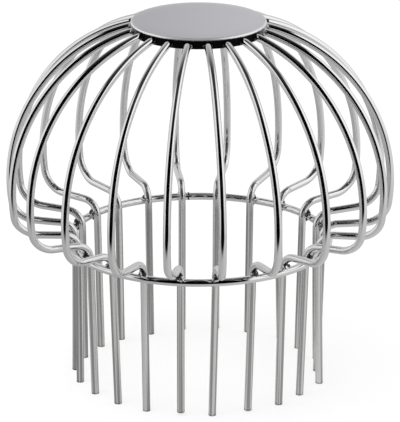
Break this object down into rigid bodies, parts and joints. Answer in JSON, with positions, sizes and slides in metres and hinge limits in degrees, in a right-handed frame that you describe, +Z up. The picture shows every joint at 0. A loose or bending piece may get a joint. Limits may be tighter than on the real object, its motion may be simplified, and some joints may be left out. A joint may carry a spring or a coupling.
{
  "type": "gutter guard",
  "caption": "Domed wire strainer that plugs into a round downpipe outlet: bent wires welded to a pressed cap, a stop ring under the dome and straight legs below.",
  "frame": {"origin": "centre of the circle of leg ends, on the plane that the legs stand on", "axes": "+Z up along the axis of the dome, +X through the first wire, +Y through the middle of a gap between wires"},
  "size_m": [0.1554, 0.154, 0.1475],
  "materials": {
    "polished_wire": "drawn stainless wire, polished bright",
    "pressed_cap": "pressed stainless sheet, satin"
  },
  "bodies": {
    "root": {"wire_01": "polished_wire", "wire_02": "polished_wire", "wire_03": "polished_wire", "wire_04": "polished_wire", "wire_05": "polished_wire", "wire_06": "polished_wire", "wire_07": "polished_wire", "wire_08": "polished_wire", "wire_09": "polished_wire", "wire_10": "polished_wire", "wire_11": "polished_wire", "wire_12": "polished_wire", "wire_13": "polished_wire", "wire_14": "polished_wire", "wire_15": "polished_wire", "wire_16": "polished_wire", "wire_17": "polished_wire", "wire_18": "polished_wire", "wire_19": "polished_wire", "wire_20": "polished_wire", "wire_21": "polished_wire", "wire_22": "polished_wire", "seat_ring": "polished_wire", "crown_cap": "pressed_cap"}
  },
  "joints": []
}
